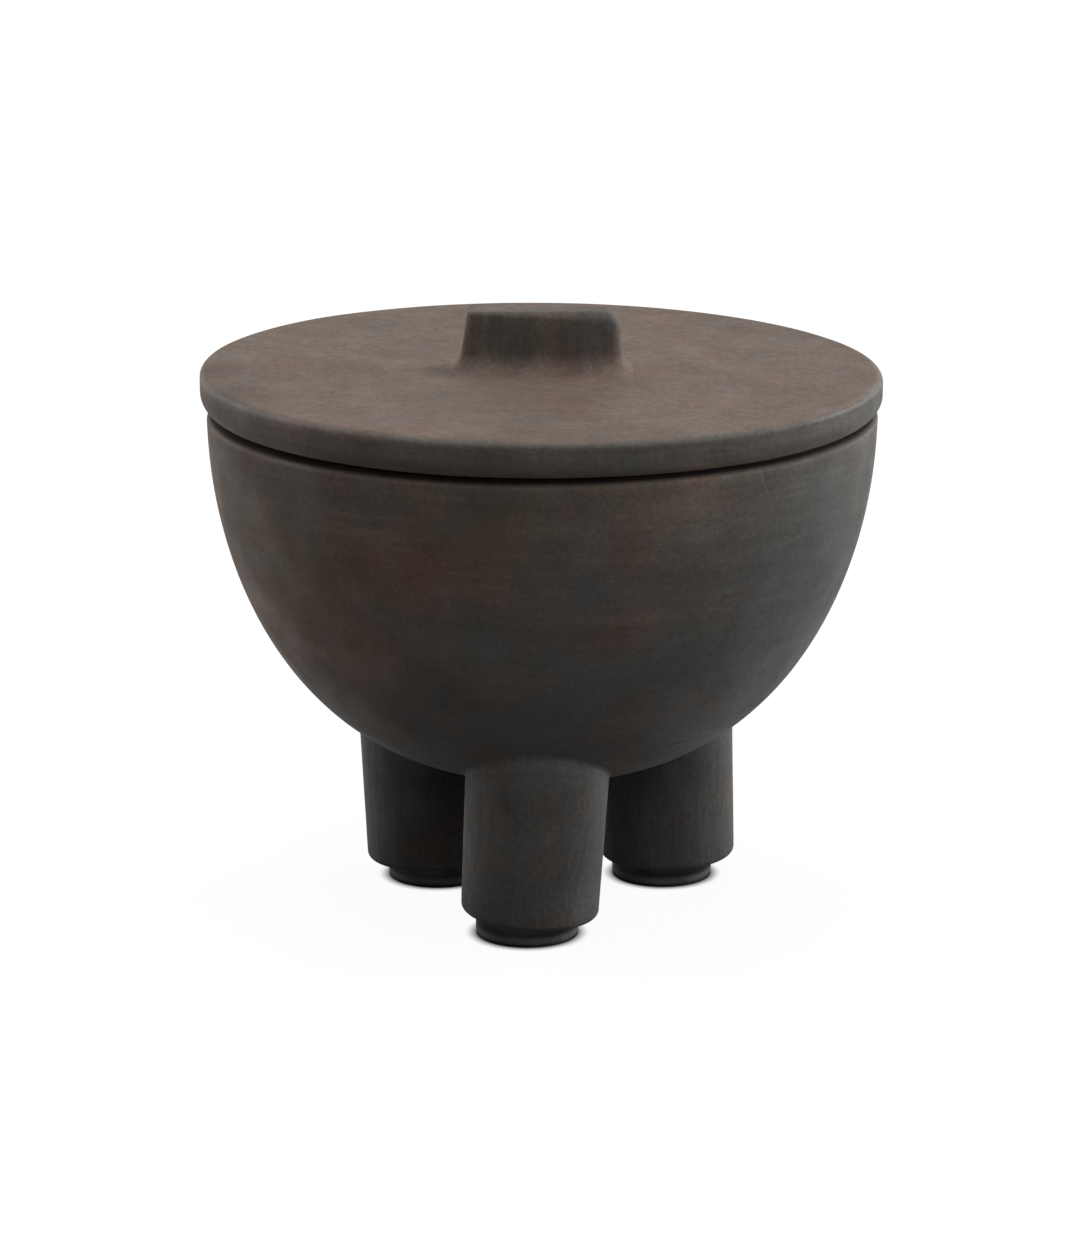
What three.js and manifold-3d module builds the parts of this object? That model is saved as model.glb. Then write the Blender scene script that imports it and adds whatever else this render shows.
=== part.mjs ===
// A lidded stoneware jar: a deep round bowl on three short round legs with rubber pads
// under them, and a flat round lid with a bar handle that rests loose on the bowl's rim.
//
// Millimetres, +Z up. The origin is on the bowl's axis at floor level. The front leg
// points to -Y and the handle lies along X. Each ceramic piece was formed by itself and
// luted to its neighbour with slip before firing; the pads are glued on.

import * as THREE from 'three';
import { mergeVertices } from 'three/addons/utils/BufferGeometryUtils.js';
import Module from 'manifold-3d';

const wasm = await Module();
wasm.setup();

// Bowl: outside radius at the rim, outside depth, and the height of its lowest point.
// Its side follows (r / radius)^fullness + (depth / full depth)^2 = 1, so a fullness of 2
// is half an ellipse and a larger one is fuller where the side turns under.
const BOWL_RADIUS = 73.8;
const BOWL_DEPTH = 82.6;
const BOWL_CLEARANCE = 30.1;
const BOWL_FULLNESS = 2.47;
const BOWL_WALL = 5.5;
const BOWL_BASE_THICKNESS = 7.5;
const RIM_OUTER_ROUND = 2.1;
const RIM_INNER_ROUND = 1.5;

// Lid: a flat disc that stands a little proud of the bowl, softly rounded underneath.
const LID_OVERHANG = 1.2;
const LID_THICKNESS = 7.9;
const LID_TOP_ROUND = 1.6;
const LID_BOTTOM_ROUND = 3.6;
const LID_SEAT_GAP = 0.3;

// Ring under the lid that centres it in the bowl's mouth.
const RING_HEIGHT = 5;
const RING_WALL = 4.5;
const RING_ROUND = 1.2;
const RING_CLEARANCE = 1.2;

// Handle: a solid bar, longer and thicker at its foot than at its top.
const HANDLE_HEIGHT = 13.2;
const HANDLE_TOP_LENGTH = 33.8;
const HANDLE_FOOT_LENGTH = 36;
const HANDLE_TOP_WIDTH = 9.8;
const HANDLE_FOOT_WIDTH = 11.4;
const HANDLE_CORNER = 2.6;
const HANDLE_TOP_ROUND = 1.6;
const HANDLE_FILLET = 4;

// Legs: solid round posts, a little thicker where they meet the bowl, with a square-cut foot.
const LEG_FOOT_RADIUS = 15.2;
const LEG_TAPER_DEG = 0.8;
const LEG_FOOT_ROUND = 1.4;
const LUTE_GAP = 0.3;

// Pads: round rubber feet under the legs, glued on and pressed to a wedge by a leaning leg.
const PAD_RADIUS = 11.3;
const PAD_HEIGHT = 4.8;
const PAD_TOP_ROUND = 0.4;
const PAD_BOTTOM_ROUND = 0.8;
const GLUE_GAP = 0.05;

// The legs were set by hand, so each has its own distance from the bowl's axis, and its own
// pad, which is stuck on a little off its centre along X.
const FRONT_OUT = 28.8;
const REAR_LEFT_OUT = 27.9;
const REAR_RIGHT_OUT = 31.8;
const FRONT_PAD_SHIFT = -0.6;
const REAR_LEFT_PAD_SHIFT = 0.9;
const REAR_RIGHT_PAD_SHIFT = -1.3;

// Each leg also has its own angle on the plan, from +X, and its own slight lean to the side,
// positive where its top leans to +X.
const LEGS = [
  {
    name: 'front', angleDeg: -95.4, leanDeg: 3.4,
    outBy: FRONT_OUT, padShift: FRONT_PAD_SHIFT,
  },
  {
    name: 'rear_left', angleDeg: 151.8, leanDeg: -2.3,
    outBy: REAR_LEFT_OUT, padShift: REAR_LEFT_PAD_SHIFT,
  },
  {
    name: 'rear_right', angleDeg: 25.7, leanDeg: -1.9,
    outBy: REAR_RIGHT_OUT, padShift: REAR_RIGHT_PAD_SHIFT,
  },
];

// Steps of the round shapes.
const ROUND_STEPS = 64;
const LEG_STEPS = 36;
const BOWL_ROWS = 13;
const EDGE_ROWS = 3;
const CORNER_STEPS = 5;

// Surface finishes.
const stoneware = () => new THREE.MeshStandardMaterial({
  color: 0x4a4440, roughness: 0.78, metalness: 0,
});
const rubber = () => new THREE.MeshStandardMaterial({
  color: 0x141414, roughness: 0.55, metalness: 0,
});

// Heights that follow from the sizes above.
const RIM_HEIGHT = BOWL_CLEARANCE + BOWL_DEPTH;
const LID_HEIGHT = RIM_HEIGHT + LID_SEAT_GAP;
const FOOT_HEIGHT = PAD_HEIGHT + GLUE_GAP;

const radians = THREE.MathUtils.degToRad;

function namedMesh(name, geometry, material) {
  const mesh = new THREE.Mesh(geometry, material);
  mesh.name = name;
  return mesh;
}

// Points of a quarter round about (x, y), from one angle to another, both in degrees.
function quarterRound(x, y, radius, fromDeg, toDeg, rows = EDGE_ROWS) {
  const points = [];
  for (let i = 0; i <= rows; i += 1) {
    const angle = radians(fromDeg + (toDeg - fromDeg) * (i / rows));
    points.push(new THREE.Vector2(x + radius * Math.cos(angle), y + radius * Math.sin(angle)));
  }
  return points;
}

// A solid of revolution about Z. The profile holds (radius, height) points and runs
// anticlockwise: up on the outside, in over the top, or closed on itself for a ring.
function turned(profile, steps) {
  const geometry = new THREE.LatheGeometry(profile, steps);
  geometry.rotateX(Math.PI / 2);
  return geometry;
}

// Depth below the rim of a bowl-shaped curve at a given radius, and the other way round.
function bowlDepthAt(radius, mouthRadius, fullDepth) {
  const share = Math.min(radius / mouthRadius, 1);
  return fullDepth * Math.sqrt(1 - share ** BOWL_FULLNESS);
}

function bowlRadiusAt(depth, mouthRadius, fullDepth) {
  return mouthRadius * (1 - (depth / fullDepth) ** 2) ** (1 / BOWL_FULLNESS);
}

// Points of that curve from its lowest point up to a given depth below the rim. The angle
// runs evenly, which keeps the facets even along the curve.
function bowlCurve(mouthRadius, fullDepth, topDepth) {
  const points = [];
  const lastAngle = Math.acos(topDepth / fullDepth);
  for (let i = 0; i <= BOWL_ROWS; i += 1) {
    const depth = fullDepth * Math.cos(lastAngle * (i / BOWL_ROWS));
    const radius = i === 0 ? 0 : bowlRadiusAt(depth, mouthRadius, fullDepth);
    points.push(new THREE.Vector2(radius, RIM_HEIGHT - depth));
  }
  return points;
}

const INNER_RADIUS = BOWL_RADIUS - BOWL_WALL;
const INNER_DEPTH = BOWL_DEPTH - BOWL_BASE_THICKNESS;

function bowl() {
  const outside = bowlCurve(BOWL_RADIUS, BOWL_DEPTH, RIM_OUTER_ROUND);
  const inside = bowlCurve(INNER_RADIUS, INNER_DEPTH, RIM_INNER_ROUND);
  const outerRound = quarterRound(
    BOWL_RADIUS - RIM_OUTER_ROUND, RIM_HEIGHT - RIM_OUTER_ROUND, RIM_OUTER_ROUND, 0, 90,
  );
  const innerRound = quarterRound(
    INNER_RADIUS + RIM_INNER_ROUND, RIM_HEIGHT - RIM_INNER_ROUND, RIM_INNER_ROUND, 90, 180,
  );
  const profile = [
    ...outside.slice(0, -1), ...outerRound, ...innerRound, ...inside.slice(0, -1).reverse(),
  ];
  return namedMesh('bowl', turned(profile, ROUND_STEPS), stoneware());
}

// The bowl as a full solid, grown by the thickness of a slip joint, for cutting the legs.
function bowlCutter() {
  const side = bowlCurve(BOWL_RADIUS + LUTE_GAP, BOWL_DEPTH + LUTE_GAP, 0);
  return turned([...side, new THREE.Vector2(0, RIM_HEIGHT)], ROUND_STEPS);
}

// Turns a closed three.js geometry into a solid for cutting, and back.
function toSolid(geometry) {
  const bare = geometry.clone();
  bare.deleteAttribute('normal');
  bare.deleteAttribute('uv');
  const merged = mergeVertices(bare, 1e-4);
  return new wasm.Manifold(new wasm.Mesh({
    numProp: 3,
    vertProperties: new Float32Array(merged.attributes.position.array),
    triVerts: new Uint32Array(merged.index.array),
  }));
}

function toGeometry(solid) {
  const result = solid.getMesh();
  const geometry = new THREE.BufferGeometry();
  geometry.setAttribute('position', new THREE.BufferAttribute(result.vertProperties, 3));
  geometry.setIndex(new THREE.BufferAttribute(result.triVerts, 1));
  geometry.computeVertexNormals();
  return geometry;
}

// One leg with its foot's centre at its local origin, on top of its pad. Its post is made
// tall enough to reach into the bowl all round, leant over whole, so that its foot tilts
// with it, and cut to the bowl's side.
function leg({ name, leanDeg }, place) {
  const reach = place.length() + LEG_FOOT_RADIUS * 2;
  const top = RIM_HEIGHT - bowlDepthAt(reach, BOWL_RADIUS, BOWL_DEPTH);
  const height = top - FOOT_HEIGHT;
  const topRadius = LEG_FOOT_RADIUS + height * Math.tan(radians(LEG_TAPER_DEG));
  const profile = [
    new THREE.Vector2(0, 0),
    ...quarterRound(LEG_FOOT_RADIUS - LEG_FOOT_ROUND, LEG_FOOT_ROUND, LEG_FOOT_ROUND, -90, 0),
    new THREE.Vector2(topRadius, height),
    new THREE.Vector2(0, height),
  ];
  const post = turned(profile, LEG_STEPS);
  post.rotateY(radians(leanDeg));
  const cutter = bowlCutter();
  cutter.translate(-place.x, -place.y, -FOOT_HEIGHT);
  const cut = toSolid(post).subtract(toSolid(cutter));
  const mesh = namedMesh(`leg_${name}`, toGeometry(cut), stoneware());
  mesh.position.set(place.x, place.y, FOOT_HEIGHT);
  return mesh;
}

// One pad, flat on the floor. Its heights are stretched or pressed along X so that its top
// follows the leg's tilted foot.
function footPad({ name, leanDeg, padShift }, place) {
  const profile = [
    new THREE.Vector2(0, 0),
    ...quarterRound(PAD_RADIUS - PAD_BOTTOM_ROUND, PAD_BOTTOM_ROUND, PAD_BOTTOM_ROUND, -90, 0),
    ...quarterRound(PAD_RADIUS - PAD_TOP_ROUND, PAD_HEIGHT - PAD_TOP_ROUND, PAD_TOP_ROUND, 0, 90),
    new THREE.Vector2(0, PAD_HEIGHT),
  ];
  const disc = turned(profile, LEG_STEPS);
  const points = disc.attributes.position;
  const slope = Math.tan(radians(leanDeg));
  for (let i = 0; i < points.count; i += 1) {
    const drop = slope * (points.getX(i) + padShift);
    points.setZ(i, points.getZ(i) * (1 - drop / PAD_HEIGHT));
  }
  disc.computeVertexNormals();
  const mesh = namedMesh(`foot_pad_${name}`, disc, rubber());
  mesh.position.set(place.x + padShift, place.y, 0);
  return mesh;
}

function lidPlate() {
  const radius = BOWL_RADIUS + LID_OVERHANG;
  const profile = [
    new THREE.Vector2(0, 0),
    ...quarterRound(radius - LID_BOTTOM_ROUND, LID_BOTTOM_ROUND, LID_BOTTOM_ROUND, -90, 0, 5),
    ...quarterRound(radius - LID_TOP_ROUND, LID_THICKNESS - LID_TOP_ROUND, LID_TOP_ROUND, 0, 90),
    new THREE.Vector2(0, LID_THICKNESS),
  ];
  return namedMesh('lid_plate', turned(profile, ROUND_STEPS), stoneware());
}

function lidLocatingRing() {
  const reachedDepth = RING_HEIGHT - LID_SEAT_GAP;
  const mouth = bowlRadiusAt(reachedDepth, INNER_RADIUS, INNER_DEPTH);
  const outer = mouth - RING_CLEARANCE;
  const inner = outer - RING_WALL;
  const profile = [
    new THREE.Vector2(inner, 0),
    ...quarterRound(inner + RING_ROUND, RING_ROUND - RING_HEIGHT, RING_ROUND, 180, 270),
    ...quarterRound(outer - RING_ROUND, RING_ROUND - RING_HEIGHT, RING_ROUND, 270, 360),
    new THREE.Vector2(outer, 0),
    new THREE.Vector2(inner, 0),
  ];
  return namedMesh('lid_locating_ring', turned(profile, ROUND_STEPS), stoneware());
}

// Level sections of the handle, from its foot up: its height, and its half length and half
// width. The fillet ends in a low step, as a feather edge would be too thin to stand.
function handleSections() {
  const sections = [];
  const flankAt = (height, grow) => {
    const share = height / HANDLE_HEIGHT;
    sections.push({
      height,
      halfLength: THREE.MathUtils.lerp(HANDLE_FOOT_LENGTH, HANDLE_TOP_LENGTH, share) / 2 + grow,
      halfWidth: THREE.MathUtils.lerp(HANDLE_FOOT_WIDTH, HANDLE_TOP_WIDTH, share) / 2 + grow,
      corner: HANDLE_CORNER + grow,
    });
  };
  const filletRows = 4;
  const stepDeg = 20;
  for (let i = 0; i <= filletRows; i += 1) {
    const angle = radians(stepDeg + (90 - stepDeg) * (i / filletRows));
    const grow = HANDLE_FILLET * (1 - Math.sin(angle));
    if (i === 0) flankAt(0, grow);
    flankAt(HANDLE_FILLET * (1 - Math.cos(angle)), grow);
  }
  for (let i = 0; i <= EDGE_ROWS; i += 1) {
    const angle = radians(90 * (i / EDGE_ROWS));
    const height = HANDLE_HEIGHT - HANDLE_TOP_ROUND * (1 - Math.sin(angle));
    flankAt(height, -HANDLE_TOP_ROUND * (1 - Math.cos(angle)));
  }
  return sections;
}

// The outline of a rectangle with round corners at one height, anticlockwise from +X.
function roundedRectangle({ height, halfLength, halfWidth, corner }) {
  const points = [];
  const middles = [[1, -1], [1, 1], [-1, 1], [-1, -1]];
  middles.forEach(([sideX, sideY], quarter) => {
    for (let i = 0; i <= CORNER_STEPS; i += 1) {
      const angle = radians(-90 + 90 * (quarter + i / CORNER_STEPS));
      points.push([
        sideX * (halfLength - corner) + corner * Math.cos(angle),
        sideY * (halfWidth - corner) + corner * Math.sin(angle),
        height,
      ]);
    }
  });
  return points;
}

// A closed solid through level outlines that all have the same number of points.
function loft(outlines) {
  const count = outlines[0].length;
  const positions = outlines.flat(2);
  const index = [];
  for (let row = 0; row < outlines.length - 1; row += 1) {
    for (let i = 0; i < count; i += 1) {
      const next = (i + 1) % count;
      const low = row * count;
      const high = low + count;
      index.push(low + i, low + next, high + next, low + i, high + next, high + i);
    }
  }
  const addCap = (row, facingUp) => {
    const centre = positions.length / 3;
    positions.push(0, 0, outlines[row][0][2]);
    for (let i = 0; i < count; i += 1) {
      const a = row * count + i;
      const b = row * count + ((i + 1) % count);
      index.push(centre, facingUp ? a : b, facingUp ? b : a);
    }
  };
  addCap(0, false);
  addCap(outlines.length - 1, true);
  const geometry = new THREE.BufferGeometry();
  geometry.setAttribute('position', new THREE.Float32BufferAttribute(positions, 3));
  geometry.setIndex(index);
  geometry.computeVertexNormals();
  return geometry;
}

function lidHandle() {
  const outlines = handleSections().map(roundedRectangle);
  const mesh = namedMesh('lid_handle', loft(outlines), stoneware());
  mesh.position.z = LID_THICKNESS;
  return mesh;
}

const jar = new THREE.Group();
jar.add(bowl());
for (const spec of LEGS) {
  const angle = radians(spec.angleDeg);
  const place = new THREE.Vector2(Math.cos(angle), Math.sin(angle)).multiplyScalar(spec.outBy);
  jar.add(leg(spec, place), footPad(spec, place));
}

const lid = new THREE.Group();
lid.position.z = LID_HEIGHT;
lid.add(lidPlate(), lidLocatingRing(), lidHandle());
jar.add(lid);

export default jar;
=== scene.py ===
import math

import bpy
from mathutils import Matrix, Vector


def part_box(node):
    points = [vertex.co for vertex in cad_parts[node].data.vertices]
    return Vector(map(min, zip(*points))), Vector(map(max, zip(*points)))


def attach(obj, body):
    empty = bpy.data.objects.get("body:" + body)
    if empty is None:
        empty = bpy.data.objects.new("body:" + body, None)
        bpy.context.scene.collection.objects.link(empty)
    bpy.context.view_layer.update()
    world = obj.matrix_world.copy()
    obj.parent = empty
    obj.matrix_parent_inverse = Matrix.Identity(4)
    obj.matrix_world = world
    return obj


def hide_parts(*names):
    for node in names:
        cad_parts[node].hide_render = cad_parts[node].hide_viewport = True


# The looks of a lidded stoneware jar, built around its fixed CAD frame: a thrown bowl on
# three luted legs with glued rubber pads, and a loose lid with a bar handle. Metres, +Z up,
# the front leg towards -Y. Each ceramic piece is turned or shaped here with its soft joints
# and hand-made unevenness, and stands in the place of its CAD node.

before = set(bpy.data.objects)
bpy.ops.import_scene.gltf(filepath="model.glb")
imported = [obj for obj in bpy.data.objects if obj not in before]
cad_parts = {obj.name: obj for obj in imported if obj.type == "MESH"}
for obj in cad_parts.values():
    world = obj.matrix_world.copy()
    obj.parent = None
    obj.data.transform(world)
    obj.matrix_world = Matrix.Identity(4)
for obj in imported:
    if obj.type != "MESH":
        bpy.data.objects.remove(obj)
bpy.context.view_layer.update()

MM = 0.001

# Places and sizes taken from the frame.
BOWL_LOW, BOWL_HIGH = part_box("bowl")
PLATE_LOW, PLATE_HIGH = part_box("lid_plate")
RING_LOW, RING_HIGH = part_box("lid_locating_ring")
HANDLE_LOW, HANDLE_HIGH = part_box("lid_handle")
BOWL_RADIUS = BOWL_HIGH.x
BOWL_DEPTH = BOWL_HIGH.z - BOWL_LOW.z
RIM_HEIGHT = BOWL_HIGH.z

# Sizes that the frame's boxes don't show. The bowl's section is an oval filled out by this
# power. The lid's side curves in below through this many degrees, and a narrow flat row of
# faces beside its lower edge and its top one keeps them crisp.
BOWL_FULLNESS = 2.47
BOWL_WALL = 5.5 * MM
BOWL_BASE_THICKNESS = 7.5 * MM
RIM_OUTER_ROUND = 1.3 * MM
RIM_SLOPE_DROP = 0.8 * MM
RIM_INNER_ROUND = 1.5 * MM
LID_TOP_ROUND = 1.6 * MM
LID_UNDER_ROUND = 4 * MM
LID_UNDER_BEND = 60
LID_EDGE_FLAT = 0.3 * MM
LID_TOP_FLAT = 0.4 * MM
RING_WALL = 4.5 * MM
RING_ROUND = 1.2 * MM
LEG_FOOT_RADIUS = 15.2 * MM
LEG_TAPER = math.tan(math.radians(0.8))
LEG_FOOT_ROUND = 1.4 * MM
PAD_TOP_ROUND = 0.4 * MM
PAD_BOTTOM_ROUND = 1.2 * MM
PAD_HEIGHT = 4.8 * MM
GLUE_GAP = 0.05 * MM
HANDLE_TOP_LENGTH = 33.8 * MM
HANDLE_FOOT_LENGTH = 36 * MM
HANDLE_TOP_WIDTH = 9.8 * MM
HANDLE_FOOT_WIDTH = 11.4 * MM
HANDLE_CORNER = 2.6 * MM

# Each leg's lean to the side, positive where its top leans to +X, its lean outwards, and how
# far its pad was stuck on from its middle.
LEGS = {
    "front": (math.radians(3.4), math.radians(5), -0.6 * MM),
    "rear_left": (math.radians(-2.3), 0, 0.9 * MM),
    "rear_right": (math.radians(-1.9), 0, -1.3 * MM),
}

# A leg's top was pressed to a low soft shoulder when it was luted on, and the joint wiped
# narrow at its sides and wider on its outer face. Past the joint it goes on into the bowl's
# wall by the sink, and its hidden cap rises this far over the bowl's lowest point.
LUTE_FILLET_SIDE = 0.9 * MM
LUTE_FILLET_OUT = 2.2 * MM
SHOULDER_HEIGHT = 0.22 * MM
SHOULDER_REACH = 4 * MM
LUTE_SINK = 1 * MM
CAP_RISE = 5 * MM

# The joint of the handle is wiped wide along its sides and narrow at its ends. Its top edge
# is worn rounder at its right end than at its left one, and this power keeps the wear there.
# Its left end slants in by this at its top, its corners stay at least this round, and its
# foot is sunk by this into the lid.
HANDLE_FILLET_SIDE = 4 * MM
HANDLE_FILLET_END = 2.4 * MM
HANDLE_ROUND_LEFT = 0.9 * MM
HANDLE_ROUND_RIGHT = 3.6 * MM
HANDLE_WEAR_POWER = 8
HANDLE_LEFT_SLANT = 0.8 * MM
HANDLE_LEAST_CORNER = 0.3 * MM
HANDLE_SINK = 0.05 * MM

# The rim was trimmed by hand: from its right side it falls by this to the front, and by
# twice this to the left. The wall follows it, less and less, down to this depth.
RIM_DROP = 0.27 * MM
RIM_DROP_DEPTH = 18 * MM

# The lid was cut a little thicker on its left side: its top falls by this slope to the
# right, and its underside by less. It was put down a hair to the left.
LID_TOP_SLOPE = math.tan(math.radians(0.5))
LID_UNDER_SLOPE = math.tan(math.radians(0.15))
LID_SHIFT = -0.17 * MM

# Hand-made unevenness of every ceramic surface: how far it wanders and over what distance.
UNEVEN_HEIGHT = 0.16 * MM
UNEVEN_SIZE = 34 * MM
UNEVEN_SEED = 7.0

# Patches of the firing, as the photograph shows them: the middle of each and its reach, in
# millimetres, and its strength. Flame reddened the clay and smoke greyed it. The paler spots
# are painted light, where more light falls, as on the bowl's lower right, its rim at the
# right, the front leg and the handle's top. The darker ones are painted shade: in the
# handle's shadow, between the legs, over the front leg's joint, under the lid's front and on
# the edges that catch less light at the left and front.
RED_FLASHES = [
    (-24, -68, 91, 17, 0.7), (-43, -53, 71, 22, 0.7), (19, -69, 80, 14, 0.7),
    (18, -71, 97, 12, 0.6), (0, -44, 37, 6, 0.5), (0, -44, 31, 6, 0.6), (0, -44, 25, 6, 0.6),
    (0, -44, 19, 6, 0.5), (-52, -55, 119, 12, 0.5), (8, -10, 123, 12, 0.6),
    (-10, -47, 45, 9, 0.6), (-35, -39, 48, 16, 0.4),
]
GREY_PATCHES = [
    (8, -73, 91, 13, 0.7), (-52, -52, 107, 20, 0.6), (0, -52, 57, 28, 0.6),
    (56, -46, 82, 34, 0.5), (66, -20, 96, 30, 0.4), (14, -6, 132, 14, 0.8),
    (-4, 0, 136, 14, 0.6), (-36, -64, 107, 16, 0.6), (-68, -30, 104, 18, 0.5),
    (-10, -6, 128, 12, 0.6), (20, -48, 48, 14, 0.6),
]
# Painted light: spots made paler where more light falls on the pot.
PAINTED_LIGHT_SPOTS = [
    (-38, -62, 84, 30, 0.3), (-34, -45, 62, 20, 0.3), (31, -33, 44, 27, 1.1),
    (-12, -44, 24, 28, 0.3), (-6, 0, 137, 12, 0.5), (29, -68, 106, 19, 0.5),
    (7, -42, 8, 11, 0.4), (42, -37, 55, 18, 0.65), (16, -66, 76, 14, 0.25),
    (21, -3, 120.5, 9, 0.15), (24, -48, 52, 16, 0.5),
]
# Painted shade: spots made darker where less light reaches the pot.
PAINTED_SHADE_SPOTS = [
    (-2, -32, 120.5, 32, 0.2), (-20, 6, 26, 30, 0.65), (24, 4, 34, 20, 0.35),
    (-15, -45, 45, 15, 0.3), (-11, -73, 107, 22, 0.4), (-2, -68, 120, 26, 0.2),
    (-71, -8, 120, 17, 0.4), (-21, -4, 121, 11, 0.4), (-9, -8, 125, 13, 0.4),
    (7, -8, 125, 13, 0.4), (-68, -32, 117, 18, 0.5), (-65, -35, 112, 14, 0.25),
]

# The edges that hands burnish, which are also painted paler as a highlight, and the seat
# under the lid, painted dark as the shade in its gap, as radius, 0 and height: the bowl's rim
# and the lid's top edge; the sloping rim and the lid's lower edge.
BURNISHED_HIGHLIT_EDGES = [(73.5, 0, 110.9, 1.3, 0.2), (74.4, 0, 120.1, 1.7, 0.8)]
PAINTED_SEAT_SHADE = [(70.5, 0, 112.2, 2.6, 1.0), (71.9, 0, 111.8, 2.0, 1.0), (72, 0, 112.9, 1.6, 0.8)]

# Mesh steps: round the pot, a leg and a corner of the handle, then the rows along each form.
POT_STEPS = 192
LEG_STEPS = 96
CORNER_STEPS = 12
ROW_SPACING = 1.6 * MM
EDGE_ROWS = 8
PAD_EDGE_ROWS = 4
OUTSIDE_ROWS = 72
INSIDE_ROWS = 56
POST_ROWS = 12
SHOULDER_ROWS = 15
LUTE_ROWS = 8
HANDLE_EDGE_ROWS = 12
FLANK_ROWS = 8

# How often the search for a ball's touching point halves its range, the step of angle that
# gives the bowl's direction there, and how often the ball is moved up to it.
TOUCH_HALVINGS = 24
TOUCH_STEP = 0.001
TOUCH_ROUNDS = 12

# The floor's reach, and the point that all the lamps face.
FLOOR_HALF_WIDTH = 4.0
LIGHT_AIM = Vector((0, 0, 0.07))

# The photograph's frame, and the camera that its outlines fit.
IMAGE_HEIGHT_PX = 1252
FOCAL_PX = 4709
SENSOR_MM = 36
CAMERA_DISTANCE = 1.05
CAMERA_PITCH = math.radians(15.02)
CAMERA_AIM = Vector((-0.47 * MM, 0, 62.05 * MM))


def linear(hex_colour):
    """An sRGB hex colour as the linear RGBA that a socket takes."""
    channels = [int(hex_colour[i:i + 2], 16) / 255 for i in (1, 3, 5)]
    turned = [c / 12.92 if c <= 0.04045 else ((c + 0.055) / 1.055) ** 2.4 for c in channels]
    return (*turned, 1.0)


def add_node(tree, kind, inputs=None, output=0, **settings):
    """Adds a node with its settings, and links or sets its inputs: each is a socket or a
    value. Gives back the output asked for, or all of them for None."""
    node = tree.nodes.new(kind)
    for name, value in settings.items():
        setattr(node, name, value)
    for name, value in (inputs or {}).items():
        if isinstance(value, bpy.types.NodeSocket):
            tree.links.new(value, node.inputs[name])
        else:
            node.inputs[name].default_value = value
    return node.outputs if output is None else node.outputs[output]


# Materials

def new_material(name):
    material = bpy.data.materials.new(name)
    material.use_nodes = True
    material.node_tree.nodes.clear()
    return material, material.node_tree


def clouds(tree, place, size, seed, low, high, to_low=0.0, to_high=1.0):
    """Soft patches about as large as the real size given. The middle of the noise, from low
    to high, is spread from one level to the other, and the rest held there."""
    noise = add_node(tree, "ShaderNodeTexNoise", {
        "Vector": place, "W": seed, "Scale": 1 / size, "Detail": 3.0, "Roughness": 0.58,
    }, noise_dimensions="4D")
    return add_node(tree, "ShaderNodeMapRange", {
        "Value": noise, "From Min": low, "From Max": high, "To Min": to_low, "To Max": to_high,
    })


def near_spots(tree, place, spots):
    """The strength of each spot given at its middle, falling to 0 at its reach."""
    near = 0.0
    for x, y, z, reach, strength in spots:
        away = add_node(tree, "ShaderNodeVectorMath", {
            0: place, 1: (x * MM, y * MM, z * MM),
        }, "Value", operation="DISTANCE")
        share = add_node(tree, "ShaderNodeMapRange", {
            "Value": away, "From Min": reach * MM, "From Max": 0.0, "To Max": strength,
        }, interpolation_type="SMOOTHSTEP")
        near = add_node(tree, "ShaderNodeMath", {0: near, 1: share}, operation="MAXIMUM")
    return near


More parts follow.
